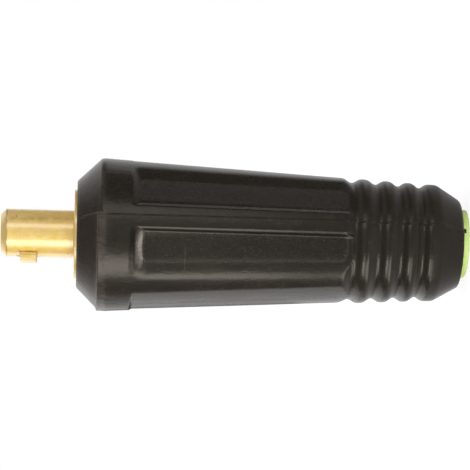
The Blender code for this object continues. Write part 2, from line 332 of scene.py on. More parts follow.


# Painted shade in the corner round the lug; dirt in a line behind the tip and in one streak along the pin
def brassStainAndShade(net, place, cloud, spots):
    x, y, z = net.parts(place)
    stray = abs(x - brass["streak"] + (cloud - 0.5) * brass["streakStray"])
    streak = net.ease(stray, *brass["streakWidth"]) * net.ease(y, -0.004, -0.005)
    streak = streak * net.ease(cloud, 0.30, 0.75)
    rim = net.ease(abs(z - (pinTip - brass["rimBack"])), *brass["rimWidth"]) * net.ease(cloud, 0.25, 0.50)
    around = net.math("ARCTAN2", y, -x)
    lengthways = abs(z - (lugTop + lugFoot) / 2) - (lugTop - lugFoot) / 2
    sideways = (abs(around) - lugHalfAngle) * brass["lugRadius"]
    onPin = net.ease(net.reach(x, y), brass["lugRadius"], brass["lugRadius"] - 0.0003)
    # painted shade: a dark outline in the corner round the lug and along its ends
    beside = net.ease(abs(net.most(lengthways, sideways)), *brass["lugBeside"]) * onPin
    ends = net.ease(abs(lengthways), *brass["lugEnds"]) * net.ease(sideways, 0.0002, 0.0)
    outline = net.most(beside, ends) * net.ease(cloud, 0.25, 0.45)
    return net.bounded(net.most(net.most(spots * 0.8, net.most(rim, outline) * 0.85), streak * 0.55))


def brassLooks(net):
    place = net.place()
    height = net.parts(place)[2]
    lathe = net.noise(net.vector(0.0, 0.0, height), brass["latheScale"], 3.0, 0.65)
    cloud = net.noise(place, brass["cloudScale"], 4.0, 0.62)
    mottle = net.noise(place, brass["mottleScale"], 3.0, 0.6)
    spots = net.ease(net.noise(place, brass["spotScale"], 2.0, 0.6, None, 3.0), *brass["spotLevels"])
    blush = net.ease(net.noise(place, brass["blushScale"], 3.0, 0.6, None, 7.0), *brass["blushLevels"])
    colour = net.tint(net.bounded(cloud * 3.0 - 1.15), brass["bright"], brass["deep"])
    colour = net.tint(blush * brass["blushShare"], colour, brass["rosy"])
    colour = net.tint(brassStainAndShade(net, place, cloud, spots), colour, brass["tarnishAndShade"])
    rough = brass["roughness"] + (cloud - 0.5) * 0.22 + (lathe - 0.5) * 0.18
    rough = rough + (mottle - 0.5) * 0.3 + spots * 0.16
    return {
        "Base Color": colour,
        "Metallic": 1.0,
        "Roughness": net.bounded(rough),
        "Coat Weight": brass["lacquer"],
        "Coat Roughness": brass["lacquerRoughness"],
        "Coat IOR": brass["lacquerIor"],
        "Normal": net.bump(lathe * brass["latheHeight"] + mottle * brass["mottleHeight"]),
    }


steel = dict(
    bright=(0.36, 0.36, 0.37, 1.0),
    dark=(0.17, 0.17, 0.19, 1.0),
    roughness=0.36,
    cloudScale=600.0,
    fineScale=5000.0,
    fineHeight=0.000008,
)


def steelLooks(net):
    place = net.place()
    cloud = net.noise(place, steel["cloudScale"], 3.0, 0.6)
    fine = net.noise(place, steel["fineScale"], 2.0, 0.5)
    return {
        "Base Color": net.tint(net.bounded(cloud * 1.5 - 0.3), steel["bright"], steel["dark"]),
        "Metallic": 1.0,
        "Roughness": steel["roughness"] + (cloud - 0.5) * 0.2,
        "Normal": net.bump(fine * steel["fineHeight"]),
    }


copper = dict(
    bright=(0.82, 0.42, 0.27, 1.0),
    dull=(0.52, 0.24, 0.15, 1.0),
    roughness=0.34,
    cloudScale=260.0,
    rolledScale=3200.0,
    rolledStretch=(1.0, 1.0, 0.06),
    rolledHeight=0.000012,
)


def copperLooks(net):
    place = net.place()
    cloud = net.noise(place, copper["cloudScale"], 4.0, 0.6)
    rolled = net.noise(place, copper["rolledScale"], 2.0, 0.5, copper["rolledStretch"])
    return {
        "Base Color": net.tint(net.bounded(cloud * 1.5 - 0.3), copper["bright"], copper["dull"]),
        "Metallic": 1.0,
        "Roughness": copper["roughness"] + (cloud - 0.5) * 0.2,
        "Normal": net.bump(rolled * copper["rolledHeight"]),
    }


lime = dict(
    light=(0.760, 0.940, 0.310, 1.0),
    deep=(0.640, 0.860, 0.210, 1.0),
    roughness=0.46,
    cloudScale=240.0,
    fineScale=2200.0,
    fineStretch=(1.0, 1.0, 0.3),
    fineHeight=0.00003,
)


def limeLooks(net):
    place = net.place()
    cloud = net.noise(place, lime["cloudScale"], 3.0, 0.6)
    fine = net.noise(place, lime["fineScale"], 3.0, 0.6, lime["fineStretch"])
    return {
        "Base Color": net.tint(net.bounded(cloud * 1.4 - 0.35), lime["light"], lime["deep"]),
        "Roughness": lime["roughness"] + (fine - 0.5) * 0.15,
        "Normal": net.bump(fine * lime["fineHeight"]),
    }


rubberFinish = paint("sleeve_rubber", rubberLooks)
brassFinish = paint("contact_brass", brassLooks)
steelFinish = paint("screw_steel", steelLooks)
copperFinish = paint("ferrule_copper", copperLooks)
limeFinish = paint("liner_plastic", limeLooks)
print("materials made")


# Turned pieces. A host mesh holds the section: each point has its radius in x and its height in z, and
# named values that the rule of the piece reads. The tree lays a grid round it, and the rule moves the grid

class Row:                                                # a grid point's own values, as wires
    pass


def openTree(name, sizes):
    tree = bpy.data.node_groups.new(name, "GeometryNodeTree")
    net = Net(tree)
    face = tree.interface
    face.new_socket(name="Geometry", in_out="OUTPUT", socket_type="NodeSocketGeometry")
    sockets = [face.new_socket(name="Geometry", in_out="INPUT", socket_type="NodeSocketGeometry")]
    for size in sizes:
        sockets.append(face.new_socket(name=size, in_out="INPUT", socket_type="NodeSocketFloat"))
    sockets.append(face.new_socket(name="finish", in_out="INPUT", socket_type="NodeSocketMaterial"))
    net.keys = {socket.name: socket.identifier for socket in sockets[1:]}
    entry = net.node("NodeGroupInput")
    net.size = {socket.name: Wire(net, entry.outputs[socket.name]) for socket in sockets}
    return net


def sampled(net, name, index):
    value = net.wire("GeometryNodeInputNamedAttribute", {"data_type": "FLOAT"}, {"Name": name})
    taken = {"Geometry": net.size["Geometry"], "Value": value, "Index": index}
    return net.wire("GeometryNodeSampleIndex", {"data_type": "FLOAT"}, taken)


# The angle of a station; stations may stand closer on both sides of the planes x = 0
def stationAngle(net, share, dense):
    if not dense:
        return share * (2 * pi)
    quarter = share * 4
    away = net.math("PINGPONG", quarter + 1, 1.0)
    near = away * (net.size["denseAngle"] / net.size["denseShare"])
    slope = (pi / 2 - net.size["denseAngle"]) / (1 - net.size["denseShare"])
    bent = net.most(near, net.size["denseAngle"] + (away - net.size["denseShare"]) * slope)
    middle = 2 * net.math("FLOOR", quarter / 2) + 1
    return middle * (pi / 2) + net.math("SIGN", quarter - middle) * bent


def turnedTree(name, sizes, rule, names, dense=False, lay=None):
    net = openTree(name, sizes)
    size = net.size
    count = net.wire("GeometryNodeAttributeDomainSize", {"component": "MESH"}, {0: size["Geometry"]})
    steps = size["stations"]
    wanted = {"Size X": steps, "Size Y": count - 1, "Vertices X": steps + 1, "Vertices Y": count}
    grid = net.wire("GeometryNodeMeshGrid", None, wanted)
    column, line, _ = net.parts(net.wire("GeometryNodeInputPosition"))
    line = net.math("ROUND", line + (count - 1) / 2)
    row = Row()
    row.angle = stationAngle(net, net.math("ROUND", column + steps / 2) / steps, dense)
    for value in ("radius", "height") + names:
        setattr(row, value, sampled(net, value, line))
    radius, kept = rule(net, row)
    shape = grid
    for attribute, value in kept.items():
        stored = {"Geometry": shape, "Name": attribute, "Value": value}
        shape = net.wire("GeometryNodeStoreNamedAttribute", {"data_type": "FLOAT", "domain": "POINT"}, stored)
    across = net.math("COSINE", row.angle) * radius
    spot = net.vector(across, net.math("SINE", row.angle) * radius, row.height)
    shape = net.wire("GeometryNodeSetPosition", None, {"Geometry": shape, "Position": spot})
    shape = net.wire("GeometryNodeMergeByDistance", None, {"Geometry": shape, "Distance": mergeDistance})
    if lay:
        shape = net.wire("GeometryNodeTransform", None, {"Geometry": shape, **lay(net)})
    shape = net.wire("GeometryNodeSetShadeSmooth", None, {"Geometry": shape})
    shape = net.wire("GeometryNodeRealizeInstances", None, {"Geometry": shape})
    shape = net.wire("GeometryNodeSetMaterial", None, {"Geometry": shape, "Material": size["finish"]})
    net.node("NodeGroupOutput", None, {"Geometry": shape})
    return net


# Runs a tree on a section, given as (radius, height, other values) points, and keeps a plain mesh
def turn(name, net, section, names, values, finish, sharp):
    host = bpy.data.meshes.new(name)
    host.from_pydata([(point[0], 0.0, point[1]) for point in section], [], [])
    for place, attribute in enumerate(("radius", "height") + names):
        data = host.attributes.new(attribute, "FLOAT", "POINT").data
        for item, point in zip(data, section):
            item.value = point[place]
    piece = bpy.data.objects.new(name, host)
    bpy.context.scene.collection.objects.link(piece)
    modifier = piece.modifiers.new("turned", "NODES")
    modifier.node_group = net.tree
    for key, identifier in net.keys.items():
        modifier[identifier] = finish if key == "finish" else values[key]
    depsgraph = bpy.context.evaluated_depsgraph_get()
    mesh = bpy.data.meshes.new_from_object(piece.evaluated_get(depsgraph))
    piece.modifiers.clear()
    piece.data = mesh
    mesh.name = name
    if not mesh.materials:
        mesh.materials.append(finish)
    mesh.set_sharp_from_angle(angle=sharp)
    print(name, "turned:", len(mesh.polygons), "faces")
    return piece


def arcPoints(centre, radius, start, end, steps):         # (radius, height) points, angles in degrees
    points = []
    for step in range(steps + 1):
        angle = radians(start + (end - start) * step / steps)
        points.append((centre[0] + radius * cos(angle), centre[1] + radius * sin(angle)))
    return points


def linePoints(start, end, steps):                        # steps points from start towards end, without end
    return [tuple(a + (b - a) * step / steps for a, b in zip(start, end)) for step in range(steps)]


# Rubber sleeve

sleeve = dict(
    lastRibRadius=0.016125,
    gripRadius=gripRadius,
    lastRib=sleeveFoot + 0.00945,
    gripFront=sleeveTop - 0.0074,
    panelFront=sleeveTop - 0.0144,
    panelRear=0.0322,
    gripAngle=radians(25.0),
    gripDepth=0.00165,
    sideDepthUp=0.00165,
    sideDepthDown=0.00115,
    sideBulge=0.62,             # 1 is flat, 0 is as round as the sleeve
    bandTopUp=radians(6.6),
    bandTopDown=radians(8.1),
    bandFootUp=radians(11.5),
    bandFootDown=radians(12.9),
    bandWidenUp=radians(0.8),
    bandWidenDown=radians(1.6),
    footWiden=radians(3.6),
    frontWallUp=0.0034,
    frontWallDown=0.0045,
    frontShapeUp=1.0,
    frontShapeDown=1.35,
    sideWall=0.0009,
    rearWall=0.0011,
    cornerDown=0.22,
    cornerUp=0.6,
    softEdge=0.0009,
    sideEdge=0.0002,
    seamHeight=0.00010,
    seamAngle=radians(0.45),
    hexFlat=0.01055,
    keyReach=0.0133,
    keyHalf=0.0047,
    roughEdge=0.00022,
    twist=radians(-1.7),
    untwist=radians(41.0),      # per metre
    denseAngle=radians(18.0),
    denseShare=0.46,
    stations=424.0,
)
sleeveLines = dict(
    ribCount=4,
    ribPitch=0.00626,
    ribDepth=0.00120,
    ribSharpness=1.5,
    ribCrowd=0.11,
    faceRadius=0.0146,          # outer edge of the nose face
    chamferEnd=0.0068,
    seatRadius=0.0125,          # bore round the flange
    seatDepth=0.0022,
    hexDepth=0.0120,
    barrelSeat=0.0103,
    keyBelow=0.0027,            # from the rear screw's edge to the keyway's end
    grooveSeat=0.01075,
    grooveFrom=0.0009,
    grooveTo=0.0045,
    linerSeat=0.0097,
    lip=0.0003,                 # edge of a bore
    innerLip=0.0001,
    stepHeight=0.0054,          # from the nose face down to the small step
    stepRadius=0.0200,
    landTop=0.0056,
    landRadius=0.02088,
    rearSetIn=0.00035,
    tailEdge=0.0020,
    tailEdgeDown=0.0009,
    tailCorner=0.0118,
    tailCornerDown=0.0121,
    tailTop=0.01583,
    tailSteps=24,
    coneLength=0.0069,
    noseSteps=14,
    ribStep=0.00036,
    plainStep=0.0016,
    fineStep=0.00022,
    fineEnds=0.0009,            # fine steps run on past the panels' front wall by this much
    halfShift=0.00028,          # the two mould halves don't quite meet
)
ribsTop = sleeve["lastRib"] + sleeveLines["ribCount"] * sleeveLines["ribPitch"]
sleeveRear = sleeveFoot + sleeveLines["rearSetIn"]


def taperAt(height):
    share = (height - sleeve["lastRib"]) / (sleeve["gripFront"] - sleeve["lastRib"])
    return sleeve["lastRibRadius"] + (sleeve["gripRadius"] - sleeve["lastRibRadius"]) * share


def ribbedAt(height):
    if height > ribsTop:
        return taperAt(height)
    share = (height - sleeve["lastRib"]) / (ribsTop - sleeve["lastRib"])
    phase = 2 * pi * sleeveLines["ribCount"] * (share + sleeveLines["ribCrowd"] * share * (1 - share))
    return taperAt(height) - sleeveLines["ribDepth"] * ((1 - cos(phase)) / 2) ** sleeveLines["ribSharpness"]


# Each point holds: radius, height, radius on the other mould half, roughness of the edge, hexagon, keyway
def sleevePoint(radius, height, other=None, rough=0.0, hexed=0.0, keyed=0.0):
    return (radius, height, radius if other is None else other, rough, hexed, keyed)


def tailPoints():
    lines = sleeveLines
    coneTop = sleeveFoot + lines["coneLength"]

    def coneAt(height, corner, edge):                     # a cone whose rear corner is rounded
        slope = (lines["tailTop"] - corner) / (coneTop - sleeveRear)
        turnAngle = pi / 2 - atan2(slope, 1.0)
        middle = corner - edge * tan(turnAngle / 2)
        if height - sleeveRear > edge * (1 - cos(turnAngle)):
            return corner + slope * (height - sleeveRear)
        return middle + max(0.0, edge * edge - (sleeveRear + edge - height) ** 2) ** 0.5

    points = [sleevePoint(lines["linerSeat"] + lines["innerLip"], sleeveRear + lines["innerLip"])]
    points.append(sleevePoint(lines["linerSeat"] + lines["lip"], sleeveRear))
    for step in range(lines["tailSteps"] + 1):
        height = sleeveRear + (coneTop - sleeveRear) * (step / lines["tailSteps"]) ** 2
        down = coneAt(height, lines["tailCornerDown"], lines["tailEdgeDown"])
        points.append(sleevePoint(down, height, coneAt(height, lines["tailCorner"], lines["tailEdge"])))
    points.append(sleevePoint(lines["tailTop"] + 0.00018, coneTop + 0.0005))
    points.append(sleevePoint(lines["tailTop"] + 0.00028, coneTop + 0.0010))
    return points


def gripPoints():
    lines = sleeveLines
    points = []
    height = sleeve["lastRib"]
    while height < ribsTop + lines["ribPitch"] / 2:
        points.append(sleevePoint(ribbedAt(height), height, ribbedAt(height + lines["halfShift"])))
        height += lines["ribStep"]
    fineFrom = sleeve["panelFront"] - sleeve["frontWallDown"] - lines["fineEnds"]
    fineTo = sleeve["panelFront"] + lines["fineEnds"]
    while height < sleeve["gripFront"] - lines["plainStep"]:
        points.append(sleevePoint(taperAt(height), height))
        height += lines["fineStep"] if fineFrom < height < fineTo else lines["plainStep"]
    points.append(sleevePoint(sleeve["gripRadius"] - 0.00002, sleeve["gripFront"] - 0.0009, None, 0.2))
    points.append(sleevePoint(sleeve["gripRadius"], sleeve["gripFront"] - 0.0004, None, 0.6))
    points.append(sleevePoint(sleeve["gripRadius"], sleeve["gripFront"], None, 1.0))
    return points


def nosePoints():
    lines = sleeveLines
    grip = sleeve["gripRadius"]
    land = lines["landRadius"]
    face = lines["faceRadius"]
    stepHeight = sleeveTop - lines["stepHeight"]
    landTop = sleeveTop - lines["landTop"]
    chamfer = (grip - face) / lines["chamferEnd"]
    points = []

    def add(radius, height, rough=0.0):                   # the other half's chamfer runs on to one edge
        other = min(grip - 0.0001, face + (sleeveTop - height) * chamfer)
        points.append(sleevePoint(radius, height, other, rough))

    for share in (0.2, 0.4, 0.6, 0.8):
        height = sleeve["gripFront"] + (landTop - sleeve["gripFront"]) * share
        add(grip + (land - grip) * share, height, 1.0)
    add(land, landTop - 0.0001, 0.8)
    add(land - 0.0001, landTop, 0.7)
    add(lines["stepRadius"] + 0.0001, stepHeight - 0.00002, 0.4)
    add(lines["stepRadius"], stepHeight + 0.0001, 0.1)
    for step in range(1, lines["noseSteps"]):
        share = step / lines["noseSteps"]
        height = stepHeight + (sleeveTop - stepHeight) * share
        add(lines["stepRadius"] + (face - lines["stepRadius"]) * share, height)
    points.append(sleevePoint(face, sleeveTop - 0.00012))
    points.append(sleevePoint(face - 0.00012, sleeveTop))
    return points


def borePoints():
    lines = sleeveLines
    lip = lines["lip"]
    innerLip = lines["innerLip"]
    seat = lines["seatRadius"]
    barrel = lines["barrelSeat"]
    seatFoot = sleeveTop - lines["seatDepth"]
    hexFoot = seatFoot - lines["hexDepth"]
    keyFoot = screwBoxes["clamp_screw_rear"][0].z - lines["keyBelow"]
    points = [sleevePoint(seat + lip, sleeveTop), sleevePoint(seat + innerLip, sleeveTop - innerLip)]
    points += [sleevePoint(seat, sleeveTop - lip), sleevePoint(seat, seatFoot)]
    points += [sleevePoint(sleeve["hexFlat"], height, hexed=1.0) for height in (seatFoot, hexFoot)]
    points += [sleevePoint(barrel, height, keyed=1.0) for height in (hexFoot, keyFoot)]
    for radius, height in (
        (barrel, keyFoot - 0.00002),
        (barrel, contactFoot + lines["grooveTo"]),
        (lines["grooveSeat"], contactFoot + lines["grooveTo"]),
        (lines["grooveSeat"], contactFoot + lines["grooveFrom"]),
        (barrel, contactFoot + lines["grooveFrom"]),
        (barrel, contactFoot - fit),
        (lines["linerSeat"], contactFoot - fit),
        (lines["linerSeat"], sleeveRear + lip),
    ):
        points.append(sleevePoint(radius, height))
    return points


# The whole section, from the rear end of the bore round to it again, with 1 on the outside and 0 in the bore
def sleeveSection():
    bore = [point + (0.0,) for point in borePoints()]
    outside = [point + (1.0,) for point in tailPoints() + gripPoints() + nosePoints()]
    return [bore[-1]] + outside + bore


# Marks on the moulding, each at an angle in degrees and a height, with a seed for its rough shape
marks = dict(
    bandEnd=dict(angle=-106.0, height=0.0337, reach=0.0013, rise=0.00050, seed=1.0),
    noseBurr=dict(angle=-104.0, height=0.1012, reach=0.0012, rise=0.00030, seed=2.0),
    cornerNick=dict(angle=-132.0, height=0.0335, reach=0.0011, rise=0.00040, seed=3.0),
)


def perHalf(row, down, up):                               # a value that differs on the two mould halves
    return down + (up - down) * row.half


# How high the walls round the panels stand at a grid point, from 0 on a panel's floor to 1 on the bands
def sleeveWalls(net, row):
    size = net.size
    rearward = row.ahead / (size["panelFront"] - size["panelRear"])
    topDown = size["bandTopDown"] + size["bandWidenDown"] * rearward
    topUp = size["bandTopUp"] - size["bandWidenUp"] * rearward
    footDown = size["bandFootDown"] + size["footWiden"] * rearward
    foot = perHalf(row, footDown, size["bandFootUp"])
    row.beside = net.ease(row.away, foot, perHalf(row, topDown, topUp))
    frontWall = perHalf(row, size["frontWallDown"], size["frontWallUp"])
    frontShape = perHalf(row, size["frontShapeDown"], size["frontShapeUp"])
    row.before = net.ease(net.most(row.ahead / frontWall, 0.0) ** frontShape, 1.0, 0.0)
    row.rear = net.ease(row.height, size["panelRear"] + size["rearWall"], size["panelRear"])
    corner = perHalf(row, size["cornerDown"], size["cornerUp"])
    gripWall = net.bounded(net.math("SMOOTH_MAX", row.beside, row.before, corner))
    sideWall = net.most(1 - row.ahead / size["sideWall"], 0.0)
    return net.most(gripWall, row.rear), net.most(sideWall, row.rear)


def sleeveOutside(net, row):
    size = net.size
    lean = size["twist"] + size["untwist"] * row.ahead
    row.away = net.math("PINGPONG", row.angle + pi / 2 - lean, pi / 2)
    row.half = net.bounded(net.math("COSINE", row.angle) * 90 + 0.5)
    row.outside = row.radius + (row.other - row.radius) * row.half
    rise = (row.height - size["lastRib"]) / (size["gripFront"] - size["lastRib"])
    taper = size["lastRibRadius"] + (size["gripRadius"] - size["lastRibRadius"]) * rise
    gripFloor = (taper - size["gripDepth"]) / net.math("COSINE", row.away - size["gripAngle"])
    sideDepth = perHalf(row, size["sideDepthDown"], size["sideDepthUp"])
    bulge = net.math("SINE", net.most(row.away, 0.3)) ** perHalf(row, size["sideBulge"], 1.0)
    gripWall, sideWall = sleeveWalls(net, row)
    gripPanel = net.math("SMOOTH_MIN", row.outside, gripFloor, size["softEdge"])
    gripPanel = gripPanel + (row.outside - gripPanel) * gripWall
    sidePanel = (taper - sideDepth) / bulge + sideDepth * sideWall
    shaped = net.math("SMOOTH_MIN", gripPanel, sidePanel, size["sideEdge"])
    seam = net.most(1 - row.away / size["seamAngle"], 0.0) * size["seamHeight"]
    spot = net.vector(net.math("COSINE", row.angle), net.math("SINE", row.angle), row.height * 50)
    torn = net.noise(spot, 34.0, 3.0, 0.7) - 0.55
    shaped = shaped + seam + torn * row.rough * size["roughEdge"] * (1 - row.half * 0.8)
    for mark in marks.values():
        turned = net.math("WRAP", row.angle - radians(mark["angle"]), pi, -pi) * taper
        near = 1 - net.reach(turned, row.height - mark["height"]) / mark["reach"]
        lump = net.noise(spot, 40.0, 2.0, 0.7, None, mark["seed"]) * 2 - 0.8
        shaped = shaped + net.most(near, 0.0) * lump * mark["rise"]
    return shaped


# The bore, with a hexagon in front and a keyway over the screws behind it
def sleeveBore(net, row):
    size = net.size
    hexed = size["hexFlat"] / net.math("COSINE", net.math("WRAP", row.angle, pi / 6, -pi / 6))
    around = net.math("WRAP", row.angle, pi, -pi)
    forward = net.math("GREATER_THAN", net.math("COSINE", around), 0.2)
    sideways = size["keyHalf"] / net.most(abs(net.math("SINE", around)), 0.01)
    key = net.least(size["keyReach"] / net.most(net.math("COSINE", around), 0.2), sideways) * forward
    bore = row.radius + (hexed - row.radius) * row.hexed
    return net.most(bore, key * row.keyed)


# Shares of the wear, of the painted highlights and of the painted shade; a pair is where one begins and where
# it is full
wearAndPaintedLight = dict(
    gripSide=(0.9, 0.7),
    edgeFrom=(0.70, 0.88),
    edgeTo=(0.93, 1.0),
    edgeFront=(0.3, 0.8),
    edgeShare=0.18,
    roughShare=0.4,
    filletHighlightFrom=(0.10, 0.35),
    filletHighlightTo=(0.45, 0.80),
    filletHighlightShare=0.25,
    glintFrom=(0.0, 0.05),
    glintTo=(0.14, 0.26),
    glintShare=0.50,
    creaseFrom=(0.10, 0.30),
    creaseTo=(0.60, 0.85),
    creaseShare=0.55,
    shoulderFrom=(-0.0006, 0.0002),
    shoulderTo=(0.0009, 0.0018),
    shoulderShare=0.5,
    panelDepths=(0.0010, 0.0015),
    grainShade=0.04,
)


# What the rubber's look reads: the panels' grain, worn spots with painted highlights on edges, fillet and
# wall foot, and painted shade
def sleeveWearAndPaintedLight(net, row, shaped, outer):
    half = row.half
    sided = net.ease(row.away, *wearAndPaintedLight["gripSide"])
    middle = (1 - row.before) * (1 - row.rear)
    panel = net.ease(row.outside - shaped, *wearAndPaintedLight["panelDepths"]) * outer
    # pale line at the top of the band walls: partly wear, partly painted highlight
    edge = net.between(row.beside, wearAndPaintedLight["edgeFrom"], wearAndPaintedLight["edgeTo"]) * outer
    edge = edge * (1 - net.ease(row.before, *wearAndPaintedLight["edgeFront"])) * (1 - row.rear) * (1 - half * 0.7)
    rough = net.bounded(row.rough) * (1 - half * 0.7) * outer
    # painted highlight on the fillet of the lower panels' front wall
    filletHighlight = net.between(row.before, wearAndPaintedLight["filletHighlightFrom"], wearAndPaintedLight["filletHighlightTo"]) * (1 - row.beside)
    filletHighlight = filletHighlight * (1 - half) * outer * sided
    # painted highlight along the foot of the lower band wall
    glint = net.between(row.beside, wearAndPaintedLight["glintFrom"], wearAndPaintedLight["glintTo"]) * (1 - half) * middle * outer
    wearAndHighlight = net.most(edge * wearAndPaintedLight["edgeShare"], rough * wearAndPaintedLight["roughShare"])
    wearAndHighlight = net.most(net.most(wearAndHighlight, filletHighlight * wearAndPaintedLight["filletHighlightShare"]), glint * wearAndPaintedLight["glintShare"])
    # painted shade: the band walls are darkened, mixed in as a dark matt shader
    paintedShade = net.between(row.beside, wearAndPaintedLight["creaseFrom"], wearAndPaintedLight["creaseTo"]) * outer * middle
    paintedShade = paintedShade * (1 - half * 0.8) * wearAndPaintedLight["creaseShare"]
    # painted shade on the shoulder at the lower panels' front wall
    shoulder = net.between(row.ahead, wearAndPaintedLight["shoulderFrom"], wearAndPaintedLight["shoulderTo"]) * (1 - row.beside)
    shoulder = shoulder * (1 - half) * sided * outer * wearAndPaintedLight["shoulderShare"]
    # painted shade on the grip panels' grain, added to the same mask
    paintedShade = net.bounded(net.most(paintedShade, shoulder) + panel * sided * outer * wearAndPaintedLight["grainShade"])
    return {"panel": panel, "wearAndHighlight": wearAndHighlight, "paintedShade": paintedShade}


def sleeveRule(net, row):
    row.ahead = net.size["panelFront"] - row.height
    shaped = sleeveOutside(net, row)
    bore = sleeveBore(net, row)
    outer = net.math("GREATER_THAN", row.outer, 0.5)
    return bore + (shaped - bore) * outer, sleeveWearAndPaintedLight(net, row, shaped, outer)


sleeveValues = ("other", "rough", "hexed", "keyed", "outer")
sleeveNet = turnedTree("moulded_sleeve", sleeve, sleeveRule, sleeveValues, dense=True)
sleevePiece = turn(
    "moulded_sleeve", sleeveNet, sleeveSection(), sleeveValues, sleeve, rubberFinish, radians(50)
)
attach(sleevePiece, "plug")
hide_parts("rubber_sleeve")


# Brass contact

contact = dict(
    pinRadius=0.0065,
    tipChamfer=0.0012,
    tipRound=0.0004,
    tipTurn=42.0,               # degrees of the round before the chamfer
    tipSlope=0.95,
    tipEdge=0.00015,
    pinLength=0.0201,
    flangeRadius=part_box("contact_body")[1].x,
    flangeThick=0.0026,
    hexFlat=0.01025,
    hexLength=0.0120,
    barrelRadius=0.0100,
    barrelChamfer=0.0008,
    hexSlope=0.0011,
    socketRadius=0.0060,
    socketAbove=0.0110,
    socketMouth=0.0006,
    drillAngle=radians(118),
    ridgeHeight=0.00045,
    ridgeLength=0.0030,
    ridgeUp=0.0012,
    edge=0.00018,
    stations=128.0,
    holeRadius=0.0043,
    holeFrom=0.003,
    holeTo=0.014,
)
lug = dict(
    height=0.00165,
    round=0.00030,
    root=0.0008,                # sunk into the pin, as the strip is
    stripRoot=0.0004,
    notchLength=0.0011,
    notchDepth=0.00025,
    notchHalfAngle=radians(17),
    stripLength=0.0010,
    stripHalfAngle=radians(21),
    stripHeight=0.00014,
)


def contactSection():
    size = contact
    flangeTop = pinTip - size["pinLength"]
    flangeFoot = flangeTop - size["flangeThick"]
    hexFoot = flangeFoot - size["hexLength"]
    socketTop = screwMiddle("clamp_screw_front") + size["socketAbove"]
    edge = size["edge"]
    pin = size["pinRadius"]
    barrel = size["barrelRadius"]
    ridge = barrel + size["ridgeHeight"]
    ridgeFoot = contactFoot + size["ridgeUp"]
    ridgeTop = ridgeFoot + size["ridgeLength"]
    socket = size["socketRadius"]
    plain = [
        (0.0, socketTop + socket / tan(size["drillAngle"] / 2)),
        (socket, socketTop),
        (socket, contactFoot + size["socketMouth"]),
        (socket + size["socketMouth"], contactFoot),
        (barrel - size["barrelChamfer"], contactFoot),
        (barrel, contactFoot + size["barrelChamfer"]),
        (barrel, ridgeFoot),
        (ridge, ridgeFoot + size["ridgeHeight"]),
        (ridge, ridgeTop - size["ridgeHeight"]),
        (barrel, ridgeTop),
        (barrel, hexFoot),
    ]
    points = [point + (0.0,) for point in plain]
    hexed = size["hexFlat"] / cos(pi / 6)
    points += [
        (size["hexFlat"], hexFoot, 1.0),
        (hexed, hexFoot + size["hexSlope"], 1.0),
        (hexed, flangeFoot, 1.0),
    ]
    rim = size["flangeRadius"]
    outline = [(rim - edge, flangeFoot), (rim, flangeFoot + edge)]
    outline += linePoints((rim, flangeFoot + edge), (rim, flangeTop - edge), 4)[1:]
    outline += arcPoints((rim - edge, flangeTop - edge), edge, 0.0, 90.0, 4)
    outline += linePoints((rim - edge, flangeTop), (pin + edge, flangeTop), 8)[1:]
    outline += [(pin + edge, flangeTop), (pin, flangeTop + edge)]
    shoulder = pinTip - size["tipChamfer"] - size["tipRound"]
    outline += linePoints((pin, flangeTop + edge), (pin, shoulder), 40)[1:]
    outline += arcPoints((pin - size["tipRound"], shoulder), size["tipRound"], 0.0, size["tipTurn"], 5)
    radius, height = outline[-1]
    face = radius - (pinTip - height) * size["tipSlope"]
    outline += [(face, pinTip - 0.0001), (face - size["tipEdge"], pinTip)]
    outline += linePoints((outline[-1][0], pinTip), (0.0, pinTip), 8)[1:]
    outline += [(0.0, pinTip)]
    return points + [point + (0.0,) for point in outline]


def contactRule(net, row):
    flat = net.math("WRAP", row.angle, pi / 6, -pi / 6)
    hexed = net.least(net.size["hexFlat"] / net.math("COSINE", flat), row.radius)
    return row.radius + (hexed - row.radius) * row.hexed, {}


def meshPiece(name, shape, finish):
    bmesh.ops.remove_doubles(shape, verts=shape.verts, dist=mergeDistance)
    bmesh.ops.recalc_face_normals(shape, faces=shape.faces)
    mesh = bpy.data.meshes.new(name)
    shape.to_mesh(mesh)
    shape.free()
    mesh.materials.append(finish)
    piece = bpy.data.objects.new(name, mesh)
    bpy.context.scene.collection.objects.link(piece)
    return piece


# A block that follows the pin, between two radii, heights and angles, with its outer edges rounded
def curvedBlock(name, radii, heights, middle, halfAngle, rounding, finish=brassFinish, steps=12):
    shape = bmesh.new()
    outline = []
    for radius, order in ((radii[1], 1), (radii[0], -1)):
        for step in range(steps + 1):
            angle = middle + order * halfAngle * (2 * step / steps - 1)
            outline.append((radius * cos(angle), radius * sin(angle)))
    low = [shape.verts.new((x, y, heights[0])) for x, y in outline]
    high = [shape.verts.new((x, y, heights[1])) for x, y in outline]
    shape.faces.new(low)
    shape.faces.new(high)
    for index in range(len(outline)):
        following = (index + 1) % len(outline)
        shape.faces.new((low[index], low[following], high[following], high[index]))
    bmesh.ops.recalc_face_normals(shape, faces=shape.faces)
    if rounding:
        outer = [edge for edge in shape.edges if isOuterEdge(edge, radii[1])]
        bmesh.ops.bevel(
            shape, geom=outer, offset=rounding, offset_type="OFFSET", segments=4, profile=0.5, affect="EDGES",
        )
    return meshPiece(name, shape, finish)


def isOuterEdge(edge, radius):
    inReach = all(vert.co.xy.length > radius - 0.00001 for vert in edge.verts)
    bent = len(edge.link_faces) == 2 and edge.calc_face_angle() > radians(30)
    return inReach and bent


